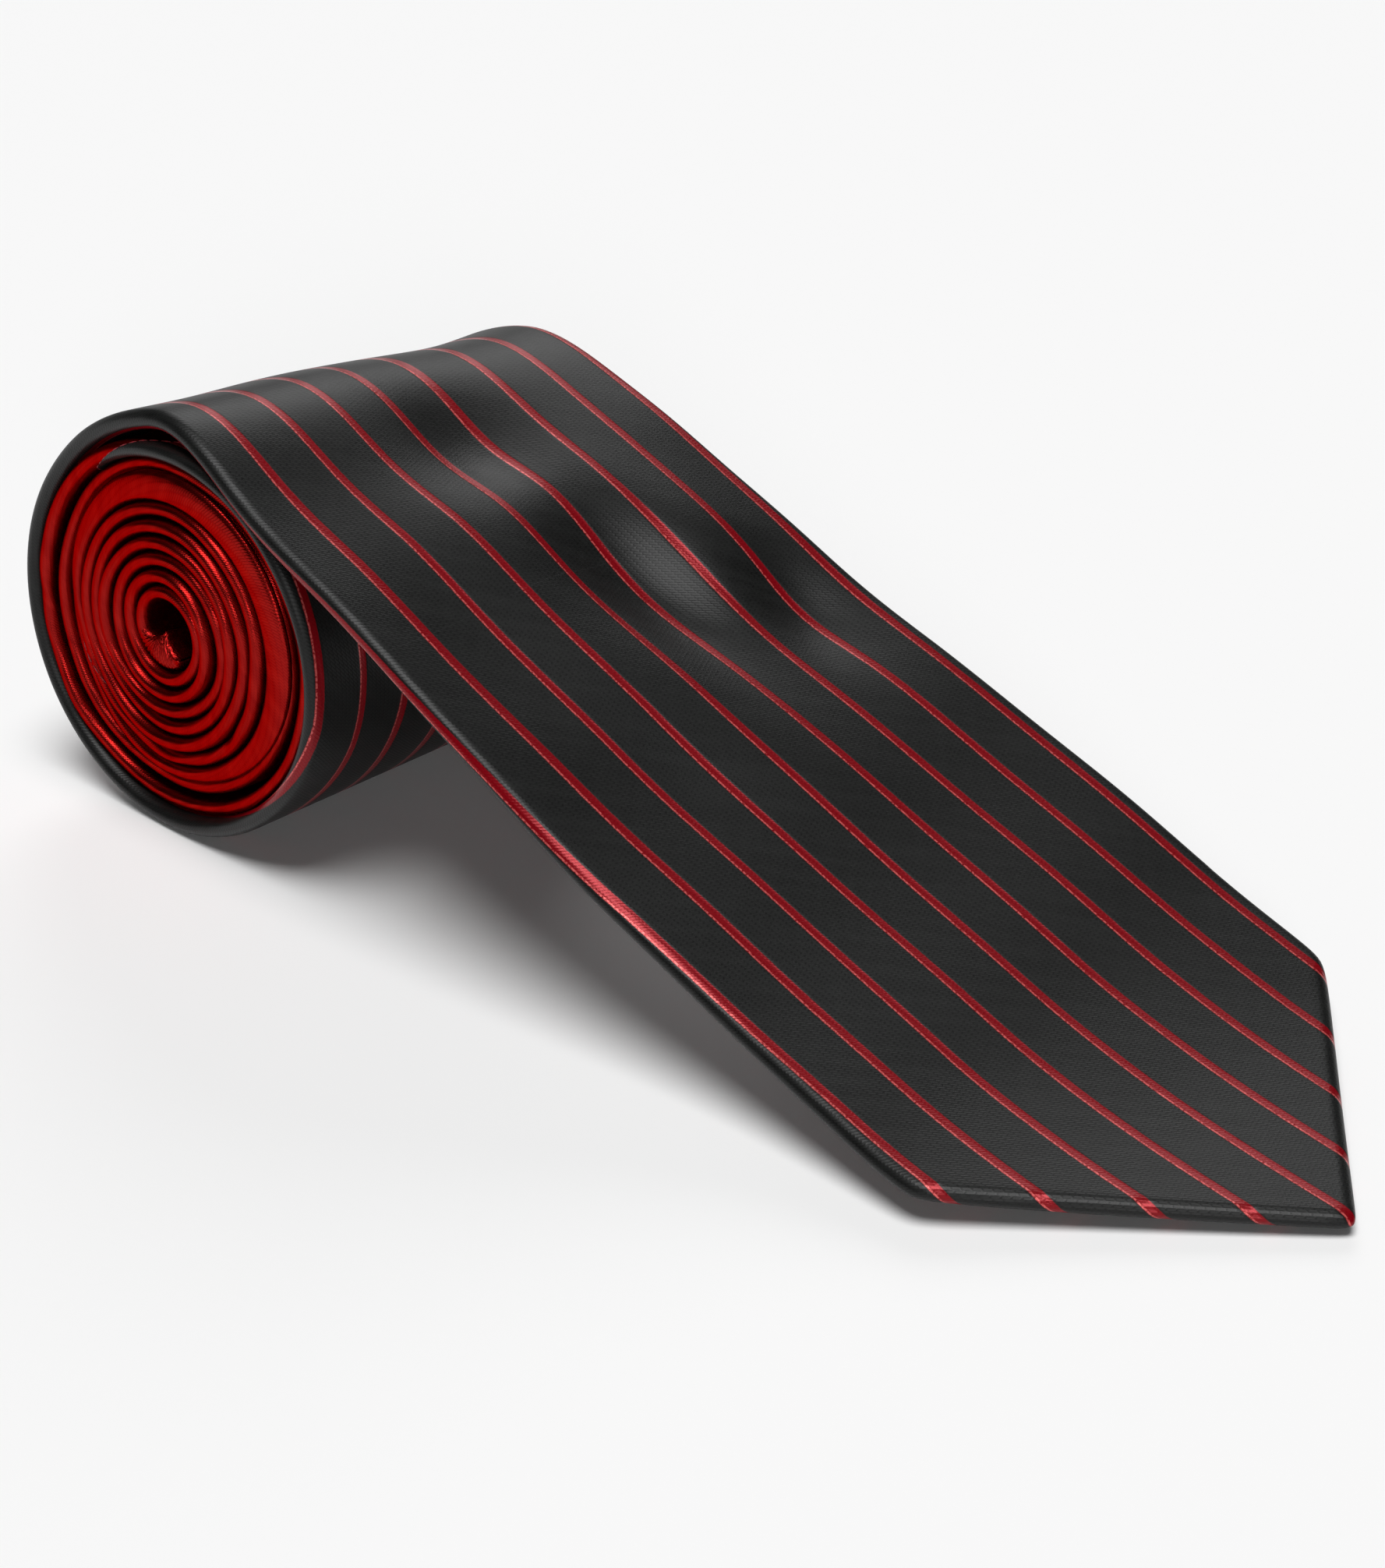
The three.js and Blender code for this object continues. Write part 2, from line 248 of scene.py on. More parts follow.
def place_on(u, v, h):
    """World places, in metres, of points at distance u, v across and h above the middle of the tie."""
    u, v, h = np.broadcast_arrays(u, v, h)
    flat = u.ravel()
    base, side, up = [np.stack([np.interp(flat, path_at, table[:, k]) for k in range(3)], axis=-1)
                      for table in (path_middle, path_across, path_normal)]
    lift = h.ravel() + wave(flat, v.ravel())
    places = base + side * v.ravel()[:, None] + up * lift[:, None]
    return (places * MM).reshape(*u.shape, 3)


def thick_sheet(name, top, bottom, cloth, material):
    """A closed mesh between two grids of points, with each point's place on the flat cloth."""
    rows, columns = top.shape[:2]
    places = np.concatenate([top.reshape(-1, 3), bottom.reshape(-1, 3)])
    grid = np.arange(rows * columns).reshape(rows, columns)
    under = grid + rows * columns
    faces = [np.stack([grid[:-1, :-1], grid[:-1, 1:], grid[1:, 1:], grid[1:, :-1]], -1).reshape(-1, 4),
             np.stack([under[:-1, :-1], under[1:, :-1], under[1:, 1:], under[:-1, 1:]], -1).reshape(-1, 4)]
    rim = np.concatenate([grid[0, :], grid[1:, -1], grid[-1, -2::-1], grid[-2:0:-1, 0]])
    rim_under = rim + rows * columns
    faces.append(np.stack([rim, rim_under, np.roll(rim_under, -1), np.roll(rim, -1)], -1))
    faces = np.concatenate(faces)
    mesh = bpy.data.meshes.new(name)
    mesh.vertices.add(len(places))
    mesh.vertices.foreach_set("co", places.astype(np.float32).ravel())
    mesh.loops.add(faces.size)
    mesh.loops.foreach_set("vertex_index", faces.astype(np.int32).ravel())
    mesh.polygons.add(len(faces))
    mesh.polygons.foreach_set("loop_start", np.arange(0, faces.size, 4, dtype=np.int32))
    mesh.update(calc_edges=True)
    mesh.polygons.foreach_set("use_smooth", np.ones(len(faces), bool))
    both = np.concatenate([cloth.reshape(-1, 2), cloth.reshape(-1, 2)])
    spots = np.concatenate([both, np.zeros((len(both), 1))], axis=1)
    attribute = mesh.attributes.new("cloth", "FLOAT_VECTOR", "POINT")
    attribute.data.foreach_set("vector", spots.astype(np.float32).ravel())
    mesh.materials.append(material)
    piece = bpy.data.objects.new(name, mesh)
    bpy.context.collection.objects.link(piece)
    return piece


# Black striped satin. A bias-cut twill-backed satin with fine ribs at 45 degrees to the tie's length, and
# raised crimson satin stripes woven in along it.
class Strand:
    """One shader socket, with arithmetic."""
    def __init__(self, dye, socket):
        self.dye = dye
        self.socket = socket

    def maths(self, operation, *others):
        return self.dye.node("Math", {"operation": operation}, dict(enumerate((self,) + others)))

    def __add__(self, other):
        return self.maths("ADD", other)

    def __sub__(self, other):
        return self.maths("SUBTRACT", other)

    def __rsub__(self, other):
        return self.dye.node("Math", {"operation": "SUBTRACT"}, {0: other, 1: self})

    def __mul__(self, other):
        return self.maths("MULTIPLY", other)

    def __truediv__(self, other):
        return self.maths("DIVIDE", other)

    __radd__ = __add__


class Dye:
    """A material's shader tree: one method adds any node."""
    def __init__(self, name):
        self.material = bpy.data.materials.new(name)
        self.material.use_nodes = True
        self.tree = self.material.node_tree
        self.shader = self.tree.nodes["Principled BSDF"]

    def node(self, kind, settings=(), sockets=(), output=0):
        added = self.tree.nodes.new("ShaderNode" + kind)
        for key, value in dict(settings).items():
            setattr(added, key, value)
        for key, value in dict(sockets).items():
            if isinstance(value, Strand):
                self.tree.links.new(value.socket, added.inputs[key])
            else:
                added.inputs[key].default_value = value
        return Strand(self, added.outputs[output])

    def cloth(self):
        vector = self.node("Attribute", {"attribute_name": "cloth"}, output="Vector")
        return [self.node("SeparateXYZ", {}, {0: vector}, output=axis) for axis in ("X", "Y")]

    def place(self, x, y):
        return self.node("CombineXYZ", {}, {0: x, 1: y})

    def noise(self, vector, scale, detail=2.0):
        return self.node("TexNoise", {}, {"Vector": vector, "Scale": scale, "Detail": detail})

    def step(self, value, low, high):
        return self.node("MapRange", {"interpolation_type": "SMOOTHSTEP"},
                         {"Value": value, "From Min": low, "From Max": high})

    def mix(self, factor, first, second):
        return self.node("Mix", {"data_type": "RGBA"}, {0: factor, 6: first, 7: second}, output=2)

    def vary(self, name, strand):
        self.tree.links.new(strand.socket, self.shader.inputs[name])

    def finish(self, colour, roughness, height=None, strength=1.0, **fixed):
        values = {"Base Color": colour, "Roughness": roughness}
        if height is not None:
            values["Normal"] = self.node("Bump", {}, {"Height": height, "Distance": MM, "Strength": strength})
        for key, value in values.items():
            if isinstance(value, Strand):
                self.tree.links.new(value.socket, self.shader.inputs[key])
            else:
                self.shader.inputs[key].default_value = value
        for key, value in fixed.items():
            name = key.replace("_", " ")
            self.shader.inputs[name].default_value = value
        return self.material


stripe_pitch = 9.16
stripe_half = 0.72


def weave_height(dye, x, y, pitch):
    """Staggered floats of a satin weave, at 45 degrees to the tie's length."""
    rows = (x + y) * (math.sqrt(0.5) / pitch)
    runs = (x - y) * (math.sqrt(0.5) / (pitch * 3.2))
    row = rows.maths("FLOOR")
    stagger = (row * 0.382).maths("FRACT")
    cross = (rows.maths("FRACT") - 0.5).maths("ABSOLUTE")
    run = ((runs + stagger).maths("FRACT") - 0.5).maths("ABSOLUTE")
    rib = 1 - dye.step(cross, 0.2, 0.5)
    return rib * (1 - dye.step(run, 0.3, 0.5))


def make_striped_satin():
    dye = Dye("striped black satin")
    x, y = dye.cloth()
    spot = dye.place(x, y)
    floats = weave_height(dye, x, y, 0.42)
    slub = dye.noise(dye.place((x + y) * 0.35, (x - y) * 0.03), 1.0, 3)
    streak = dye.noise(dye.place((x + y) * 0.05, (x - y) * 0.5), 1.0, 2)
    wobble = (dye.noise(spot, 1.4, 1) - 0.5) * 0.12
    across = ((x + wobble) / stripe_pitch + 0.5).maths("FRACT") - 0.5
    off = across.maths("ABSOLUTE") * stripe_pitch
    stripe = 1 - dye.step(off, stripe_half - 0.08, stripe_half + 0.08)
    shoulder = dye.step(off, stripe_half + 0.35, stripe_half - 0.45)
    # A painted highlight: a thin pale line along one edge of each stripe, where the raised stripe would catch
    # the light, broken up by noise.
    edge = (across * stripe_pitch + (stripe_half - 0.16)).maths("ABSOLUTE")
    painted_glint = (1 - dye.step(edge, 0.06, 0.2)) * dye.step(dye.noise(spot, 2.6, 1), 0.3, 0.6)
    ground = dye.mix(floats, (0.001, 0.001, 0.001, 1), (0.0062, 0.0066, 0.0062, 1))
    ground = dye.mix(dye.step(slub, 0.35, 0.75) * 0.4 + dye.step(streak, 0.4, 0.8) * 0.2,
                     ground, (0.011, 0.0115, 0.011, 1))
    crimson = dye.mix(floats * 0.35, (0.21, 0.0, 0.004, 1), (0.30, 0.001, 0.008, 1))
    crimson = dye.mix(painted_glint * 0.75, crimson, (0.85, 0.16, 0.15, 1))
    colour = dye.mix(stripe, ground, crimson)
    roughness = 0.42 - stripe * 0.1
    height = floats * 0.024 + shoulder * 0.14 + slub * 0.03
    dye.vary("Metallic", stripe * 0.3)
    return dye.finish(colour, roughness, height, 0.6, Specular_IOR_Level=0.28)


striped_satin = make_striped_satin()


# Crimson satin, for the neck and the tail: the same weave in one colour, glossier and finer.
def make_red_satin():
    dye = Dye("red satin")
    x, y = dye.cloth()
    floats = weave_height(dye, x, y, 0.3)
    slub = dye.noise(dye.place((x + y) * 0.5, (x - y) * 0.05), 1.0, 3)
    colour = dye.mix(slub * 0.6 + floats * 0.2, (0.17, 0.002, 0.004, 1), (0.50, 0.022, 0.016, 1))
    height = floats * 0.02 + slub * 0.06
    return dye.finish(colour, 0.26 + slub * 0.08, height, 0.7, Metallic=1.0,
                      Specular_Tint=(0.9, 0.10, 0.08, 1))


red_satin = make_red_satin()


# The outer shell. One layer of cloth covers the front, folds round both edges and meets at the middle of the
# back. The blade's end is hemmed back along the sides of a 90 degree point; the tail's end is gathered in.
near_table = [(40, 40), (70, 39.2), (110, 38.4), (150, 37.8), (crest_at, 37.4), (270, 38.2), (340, 38.0),
              (400, 37.6), (470, 37.4), (509, 36.6), (600, 36.2), (650, 37.2), (687, 36.4), (784, 36.0),
              (830, 37.8), (1000, 38.6), (1150, 39.0)]
far_table = [(40, 40), (110, 39.6), (crest_at, 38), (455, 25), (700, 0), (1000, 0), (1200, 9)]
tip_hem = 9.0
tip_tack_at = 94.0
slit = 0.35


def edge_wander(u):
    """The rolled edges were never trued up: each turn sits a little in or out of the last."""
    rolled = ramp(u, crest_at + 180, crest_at + 260)
    return rolled * (0.34 * np.sin(u / 21.7) + 0.26 * np.sin(u / 9.3 + 1.2) + 0.12 * np.sin(u / 3.7))


def reach(table, u):
    return np.interp(u, [row[0] for row in table], [row[1] for row in table])


def edges(u):
    """Distance from the middle line to the near edge and to the far edge."""
    pointed = np.sqrt((np.maximum(u, 0) + 0.8) ** 2 - 0.64)
    near, far = reach(near_table, u) + edge_wander(u), reach(far_table, u)

    def soft_smaller(a, b):
        return 0.5 * (a + b - np.sqrt((a - b) ** 2 + 4.0))

    tip_zone = u < 60
    near = np.where(tip_zone, soft_smaller(near, pointed), near)
    far = np.where(tip_zone, soft_smaller(far, pointed), far)
    return np.maximum(near, 0.05), np.maximum(far, 0.05)


def half_thickness(u):
    body = np.interp(u, [0, 60, 150, 260, 420, tie_end], [1.3, 1.45, 1.5, 1.5, 1.16, 1.06])
    body = body * (1 + 0.035 * ramp(u, 380, 460) * np.sin(u / 17.3))
    from_end = np.minimum(u, tie_end - 0.8 - u)
    rounding = 1 - (1 - np.clip(from_end / 3, 0, 1)) ** 2
    return body * np.sqrt(np.maximum(rounding, 0.002))


def fold_puff(u):
    """One turn of the neck was wound loosely: its near fold puffs out over the turns outside it."""
    return 3.0 * (ramp(u, 822, 852) - ramp(u, 868, 900))


def tail_bulge(u):
    """The tail's gathered end swells towards the middle of the roll."""
    return 1.8 * ramp(u, tie_end - 14, tie_end - 7) * (1 - ramp(u, tie_end - 3.5, tie_end - 1))


def back_depth(u):
    """Depth of the tie's back below its middle surface."""
    return half_thickness(u) + 2 * tail_bulge(u)


def stripe_drift(u, v):
    """How far the cloth and its stripes lie off the tie's straight length.

    slip turns the outermost stripe under at the near fold, and whole shifts the rest of the width.
    """
    slip = np.interp(u, [40, 100, 130, 165, crest_at, 222, 250, 300, 326, 350, 390],
                     [0.5, 0.7, 1.5, 2.2, 3.1, 4.8, 6.0, 6.2, 0.0, -1.6, -2.4])
    whole = np.interp(u, [125, 165, crest_at, 230, 330, 390], [0, 1.0, 3.4, 3.8, 2.0, 0])
    under = ramp(-v, 22, 37)
    return whole * ramp(-v, -20, 2) * (1 - under) + slip * under


def slit_half(u):
    hem = tip_hem * math.sqrt(2)
    return np.interp(u, [hem + slit, rail_reach, tip_tack_at], [slit, rail_reach - hem, slit])


def shell_section(u, inset, flap_points=9, fold_points=15, front_points=45):
    """Across, height and cloth places round the section at each u, from the far side of the slit."""
    u = u[:, None]
    near, far = edges(u)
    thick = np.maximum(half_thickness(u) - inset, 0.3 * half_thickness(u))
    bias = (1 - ramp(u, rail_reach - 3, rail_reach + 1)) * math.pi / 4
    fold_reach = 1.9
    gap = slit_half(u)
    pieces = []
    for side, width in ((1, far), (-1, near)):
        wider = 0.55 * fold_puff(u) if side == -1 else 0
        full = np.minimum((fold_reach + wider) / np.cos(bias), width * 0.8)
        flat_end = np.maximum(width - full, 0.02)
        share = np.linspace(0, 1, flap_points)[None, :-1]
        opening = np.minimum(gap, flat_end * 0.9)
        flap_v = opening + (flat_end - opening) * share
        angle = np.linspace(-math.pi / 2, math.pi / 2, fold_points)[None, :]
        puff = fold_puff(u) if side == -1 else 0
        square = 1 - 0.22 * ramp(u, crest_at + 150, crest_at + 230)
        fold_v = flat_end + (full - inset) * np.cos(angle) ** square
        fold_h = thick * np.sign(angle) * np.abs(np.sin(angle)) ** square \
            + puff * np.maximum(np.sin(2 * angle), 0)
        arc = full * np.cos(bias) * 0.89 * (math.pi / 2 - angle)
        half_arc = full * np.cos(bias) * 0.89 * math.pi
        v = np.concatenate([flap_v, fold_v], axis=1)
        h = np.concatenate([np.broadcast_to(-thick, flap_v.shape), fold_h], axis=1)
        inward = (width - v) * np.cos(bias) - full * np.cos(bias)
        travelled = np.concatenate([half_arc + inward[:, :flap_points - 1], arc], axis=1)
        shift = inward + travelled
        cloth_v = v + shift * np.cos(bias)
        cloth_u = u - shift * np.sin(bias)
        order = slice(None) if side == 1 else slice(None, None, -1)
        pieces.append([a[:, order] for a in (side * v, h, side * cloth_v, np.broadcast_to(cloth_u, v.shape))])
    (far_v, far_h, far_cv, far_cu), (near_v, near_h, near_cv, near_cu) = pieces
    t = np.linspace(0, 1, front_points + 2)[None, 1:-1]
    front_v = far_v[:, -1:] + (near_v[:, :1] - far_v[:, -1:]) * t
    front_h = np.broadcast_to(thick, front_v.shape)
    front_u = np.broadcast_to(u, front_v.shape)
    v = np.concatenate([far_v, front_v, near_v], axis=1)
    h = np.concatenate([far_h, front_h, near_h], axis=1)
    swollen = tail_bulge(u)
    pleat = np.sin(u * 8.2 + 0.5 * np.sin(u * 1.7))
    h = h - swollen * (1 - h / thick) + swollen * 0.07 * pleat * (1 - h / thick)
    v = v + np.sign(v) * swollen * 0.13 * pleat * ramp(np.abs(v), 1, 8)
    cloth = np.stack([np.concatenate([far_cv, front_v, near_cv], axis=1),
                      np.concatenate([far_cu, front_u, near_cu], axis=1)], axis=-1)
    cloth[..., 0] += stripe_drift(u, cloth[..., 0])
    return v, h, cloth


def seam_slope(cloth_v, near):
    """A bias seam leans one to one with the width, and pulls out to a point round the near fold."""
    return cloth_v + 2.5 * np.clip(cloth_v + near - 0.5, -5.3, 0)


def make_shell(name, at, skew, material):
    """skew gives how far each section leans along the tie for every millimetre of cloth across."""
    u = np.asarray(at, float)
    slant = skew(u)[:, None]
    v, h, cloth = shell_section(u, 0.0)
    inner_v, inner_h, _ = shell_section(u, cloth_layer)
    lean = slant * seam_slope(cloth[..., 0], edges(u[:, None])[0])
    leaned = np.clip(u[:, None] + lean, 0, tie_end)
    cloth[..., 1] += lean
    return thick_sheet(name, place_on(leaned, v, h), place_on(leaned, inner_v, inner_h), cloth, material)


def stations(start, end, step):
    """Distances along the tie, with a close pair at both ends that keeps those ends crisp."""
    inside = np.linspace(start, end, max(2, int(round((end - start) / step)) + 1))
    support = 0.02
    return np.concatenate([[start, start + support], inside[1:-1], [end - support, end]])


def upright(u):
    return np.zeros_like(u)


tip_split_at = 150.0
crest_split_at = crest_at + 34
neck_seam_at = 368.0
tail_seam_at = 905.0
seam_lead = 120.0


def lean_at_seams(u):
    first = ramp(u, neck_seam_at - seam_lead, neck_seam_at) - ramp(u, neck_seam_at, neck_seam_at + seam_lead)
    second = ramp(u, tail_seam_at - seam_lead, tail_seam_at) - ramp(u, tail_seam_at, tail_seam_at + seam_lead)
    return -first - second


tip_stations = np.concatenate([0.02 + 4 * np.linspace(0, 1, 14) ** 2, stations(4, 44, 0.8)[2:],
                               stations(44, tip_split_at, 1.4)[2:]])
shell_tip = make_shell("shell_tip", tip_stations, upright, striped_satin)
shell_crest = make_shell("shell_crest", stations(tip_split_at, crest_split_at, 1.2), upright, striped_satin)
shell_rolled = make_shell("shell_rolled", stations(crest_split_at, neck_seam_at, 1.2), lean_at_seams,
                          striped_satin)
shell_neck = make_shell("shell_neck", stations(neck_seam_at, tail_seam_at, 1.1), lean_at_seams, red_satin)
tail_stations = np.concatenate([stations(tail_seam_at, tie_end - 20, 0.8)[:-2],
                                stations(tie_end - 20, tie_end - 1, 0.15)[2:]])
shell_tail = make_shell("shell_tail", tail_stations, lean_at_seams, red_satin)

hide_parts("blade_shell_tip", "blade_shell_free")
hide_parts("blade_shell_free", "blade_shell_rolled")
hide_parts("blade_shell_rolled")
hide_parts("neck_shell")
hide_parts("tail_shell")


def declare_cloth(start, end):
    """The cloth was cut twice the finished width, with a few millimetres more for the two folds."""
    u = np.linspace(max(start, 0.5), end, 400)
    near, far = edges(u)
    cut = 2 * (near + far) + 4
    area = float(np.mean(cut) * (end - start)) * MM * MM
    flat = (float(cut.max()) * MM, (end - start) * MM)


# Interlining. A strip of wool canvas lies loose inside the shell and gives the tie its body. It is cut in two
# lengths that meet in the neck, and the blade's length is three pieces, split where the tie bends. The shells
# lie on these strips.
def make_wool():
    dye = Dye("wool interlining")
    x, y = dye.cloth()
    warp = ((x * (1 / 0.55)).maths("FRACT") - 0.5).maths("ABSOLUTE")
    weft = ((y * (1 / 0.6)).maths("FRACT") - 0.5).maths("ABSOLUTE")
    fuzz = dye.noise(dye.place(x, y), 1.6, 4)
    colour = dye.mix(fuzz, (0.52, 0.47, 0.37, 1), (0.76, 0.72, 0.62, 1))
    return dye.finish(colour, 0.95, warp * 0.12 + weft * 0.12 + fuzz * 0.1, 0.8, Sheen_Weight=0.3)


wool = make_wool()
lining_gap = 0.12
interlining_half = 0.45


def strip(name, at, near, far, middle, half, material, columns=25):
    """A flat strip with rounded edges, laid along the path. near and far are its reach at each station."""
    u = np.asarray(at, float)[:, None]
    t = np.linspace(0, 1, columns)[None, :]
    eased = 0.5 - 0.5 * np.cos(math.pi * t)
    v = -near + (near + far) * eased
    body = half * np.sqrt(np.maximum(1 - (2 * eased - 1) ** 6, 0.03))
    cloth = np.stack(np.broadcast_arrays(v, u), axis=-1)
    return thick_sheet(name, place_on(u, v, middle + body), place_on(u, v, middle - body), cloth, material)


def lay_interlining(name, start, end, step):
    at = stations(start, end, step)
    near, far = edges(at[:, None])
    inset = 2.4
    inner = half_thickness(at[:, None]) - cloth_layer - lining_gap
    piece = strip(name, at, np.maximum(near - inset, 0.3), np.maximum(far - inset, 0.3), 0.0,
                  np.minimum(interlining_half, inner), wool)
    width = float(np.max(near + far) - 2 * inset)
    area = float(np.mean(near + far - 2 * inset)) * (end - start) * MM * MM
    (end - start) * MM
    return piece


interlining_lap = 760.0
interlining_tip = lay_interlining("wool_tip", 4.5, tip_split_at, 2)
interlining_crest = lay_interlining("wool_crest", tip_split_at, crest_split_at, 2)
interlining_blade = lay_interlining("wool_blade", crest_split_at, interlining_lap, 2)
interlining_tail = lay_interlining("wool_tail", interlining_lap + 0.3, tie_end - 20, 1.5)
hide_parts("interlining_tip", "interlining_free")
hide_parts("interlining_free", "interlining_rolled")
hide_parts("interlining_rolled")
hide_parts("interlining_tail")

declare_cloth(0, tip_split_at)
declare_cloth(tip_split_at, crest_split_at)
declare_cloth(crest_split_at, neck_seam_at)
declare_cloth(neck_seam_at, tail_seam_at)
declare_cloth(tail_seam_at, tie_end)


# Tipping. Thin lining behind each end: black across the V that the flaps leave open at the blade's point, and
# crimson at the tail, whose flaps stay closed.
def make_lining(name, dark, light):
    dye = Dye(name)
    x, y = dye.cloth()
    twill = (((x + y * 0.6) * (1 / 0.28)).maths("FRACT") - 0.5).maths("ABSOLUTE")
    cloudy = dye.noise(dye.place(x, y), 0.35, 3)
    colour = dye.mix(cloudy * 0.7 + twill * 0.3, dark, light)
    return dye.finish(colour, 0.42 + cloudy * 0.1, twill * 0.03 + cloudy * 0.1, 0.7)


black_lining = make_lining("black lining", (0.006, 0.006, 0.007, 1), (0.016, 0.016, 0.018, 1))
red_lining = make_lining("red lining", (0.16, 0.003, 0.006, 1), (0.30, 0.008, 0.012, 1))
tail_hem = 7.0
tail_tack_from_end = 52.0
tail_point = 20.0
tipping_half = 0.14


def lay_tipping(name, at, half_open, material):
    at = np.asarray(at, float)
    open_half = np.maximum(half_open(at) - 0.2, 0.15)[:, None]
    behind = -back_depth(at)[:, None] + cloth_layer / 2
    piece = strip(name, at, open_half, open_half, behind, tipping_half, material, 21)
    return piece


def tail_slit_half(u):
    hem = tail_hem * math.sqrt(2)
    from_end = tie_end - u
    return np.interp(from_end, [hem, tail_point, tail_tack_from_end], [slit, tail_point - hem, slit])


blade_tipping = lay_tipping("blade_lining", stations(tip_hem * math.sqrt(2) + 1, tip_tack_at - 3, 1.2),
                            slit_half, black_lining)
tail_tipping = lay_tipping("tail_lining", stations(tie_end - tail_tack_from_end + 3, tie_end - 12, 1),
                           tail_slit_half, red_lining)
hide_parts("blade_tipping")
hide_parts("tail_tipping")


# Thread work. Everything is sewn by hand or machine with fine twisted thread: one mesh of small round tubes
# for each row of stitches.
def make_thread(name, dark, light):
    dye = Dye(name)
    x, y = dye.cloth()
    twist = ((x * 1.3 + y * 0.5).maths("FRACT") - 0.5).maths("ABSOLUTE")
    colour = dye.mix(twist * 2, dark, light)
    return dye.finish(colour, 0.6, twist * 0.06, 0.8)


black_thread = make_thread("black thread", (0.006, 0.006, 0.006, 1), (0.03, 0.03, 0.03, 1))
red_thread = make_thread("red thread", (0.10, 0.002, 0.004, 1), (0.32, 0.01, 0.02, 1))
thread_radius = 0.13


def sew(name, routes, radius, material, sides=6):
    """Round threads along routes, an array of stitches by points by xyz, all in metres."""
    routes = np.asarray(routes, float)
    along = np.gradient(routes, axis=1)
    along /= np.maximum(np.linalg.norm(along, axis=2, keepdims=True), 1e-12)
    guide = np.where(np.abs(along[..., 1:2]) > 0.8, [[[1.0, 0, 0]]], [[[0, 1.0, 0]]])
    first = np.cross(along, guide)
    first /= np.linalg.norm(first, axis=2, keepdims=True)
    second = np.cross(along, first)
    count, points = routes.shape[:2]
    taper = np.ones(points)
    taper[[0, -1]] = 0.35
    taper[[1, -2]] = 0.85
    turns = np.arange(sides) * 2 * math.pi / sides
    ring = first[:, :, None] * np.cos(turns)[None, None, :, None] \
        + second[:, :, None] * np.sin(turns)[None, None, :, None]
    places = routes[:, :, None] + ring * (radius * MM * taper)[None, :, None, None]
    index = np.arange(count * points * sides).reshape(count, points, sides)
    step = np.roll(index, -1, axis=2)
    walls = np.stack([index[:, :-1], step[:, :-1], step[:, 1:], index[:, 1:]], -1).reshape(-1, 4)
    faces = walls.tolist() + index[:, 0, ::-1].tolist() + index[:, -1].tolist()
    mesh = bpy.data.meshes.new(name)
    mesh.from_pydata(places.reshape(-1, 3).tolist(), [], faces)
    mesh.polygons.foreach_set("use_smooth", np.ones(len(mesh.polygons), bool))
    run = np.concatenate([np.zeros((count, 1)),
                          np.cumsum(np.linalg.norm(np.diff(routes, axis=1), axis=2), axis=1)], axis=1) / MM
    spots = np.stack(np.broadcast_arrays(run[:, :, None], np.arange(sides)[None, None] / sides, 0.0), -1)
    attribute = mesh.attributes.new("cloth", "FLOAT_VECTOR", "POINT")
    attribute.data.foreach_set("vector", spots.astype(np.float32).ravel())
    mesh.materials.append(material)
    piece = bpy.data.objects.new(name, mesh)
    bpy.context.collection.objects.link(piece)
    return piece


def on_back(u, v, out):
    """A place on the tie's back, out millimetres clear of it."""
    return place_on(u, v, -half_thickness(np.asarray(u, float)) - out)


# Slip stitch: one long loose thread closes the back, a diagonal float every few millimetres that dips into
# both flaps.
slip_pitch = 7.0
slip_length = 4.2
slip_half = 1.1


def slip_stitches(name, start, end):
    at = np.arange(start, end - 4, slip_pitch)[:, None]
    t = np.linspace(0, 1, 9)[None, :]
    u = at + slip_length * t
    v = -slip_half + 2 * slip_half * t
    out = 0.12 * np.sin(math.pi * t) - 0.14 * np.cos(math.pi * t) ** 6
    piece = sew(name, on_back(u, v, out), thread_radius, black_thread)
    return piece


slip_stitch_crest = slip_stitches("slip_stitch_crest", tip_split_at + 1, crest_split_at - 2)
slip_stitch_tip = slip_stitches("slip_stitch_tip", tip_tack_at + 3, tip_split_at - 2)
slip_stitch_rolled = slip_stitches("slip_stitch_rolled", crest_split_at + 2, tie_end - tail_tack_from_end - 2)
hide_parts("slip_stitch_free")
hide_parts("slip_stitch_free", "slip_stitch_rolled")
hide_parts("slip_stitch_rolled")


# Seams: the blade, the neck and the tail are joined on the bias, with a close row of machine stitches that
# runs round the whole section.
seam_pitch = 2.0
seam_stitch_length = 1.5
seam_thread_radius = 0.1


def seam_stitches(name, at):
    outline_v, outline_h, cloth = shell_section(np.array([at]), -0.03)
    u = at - seam_slope(cloth[0, :, 0], edges(np.array([at]))[0])
    line = place_on(u, outline_v[0], outline_h[0])
    run = np.concatenate([[0], np.cumsum(np.linalg.norm(np.diff(line, axis=0), axis=1))]) / MM
    begin = np.arange(0.5, run[-1] - 1.8, seam_pitch)[:, None]
    wanted = begin + np.linspace(0, seam_stitch_length, 5)[None, :]
    routes = np.stack([np.interp(wanted, run, line[:, k]) for k in range(3)], axis=-1)
    piece = sew(name + "_thread", routes, seam_thread_radius, red_thread)
    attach(piece, "roll")
    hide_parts(name)


seam_stitches("blade_neck_seam", neck_seam_at)
seam_stitches("neck_tail_seam", tail_seam_at)


# Bar tacks: a dense whipped bar of thick thread across the back holds the flaps together near each end of
# the tie. The blade's stands where its V begins.
tack_turns = 22
tack_half = 4.5
tack_thread_radius = 0.2


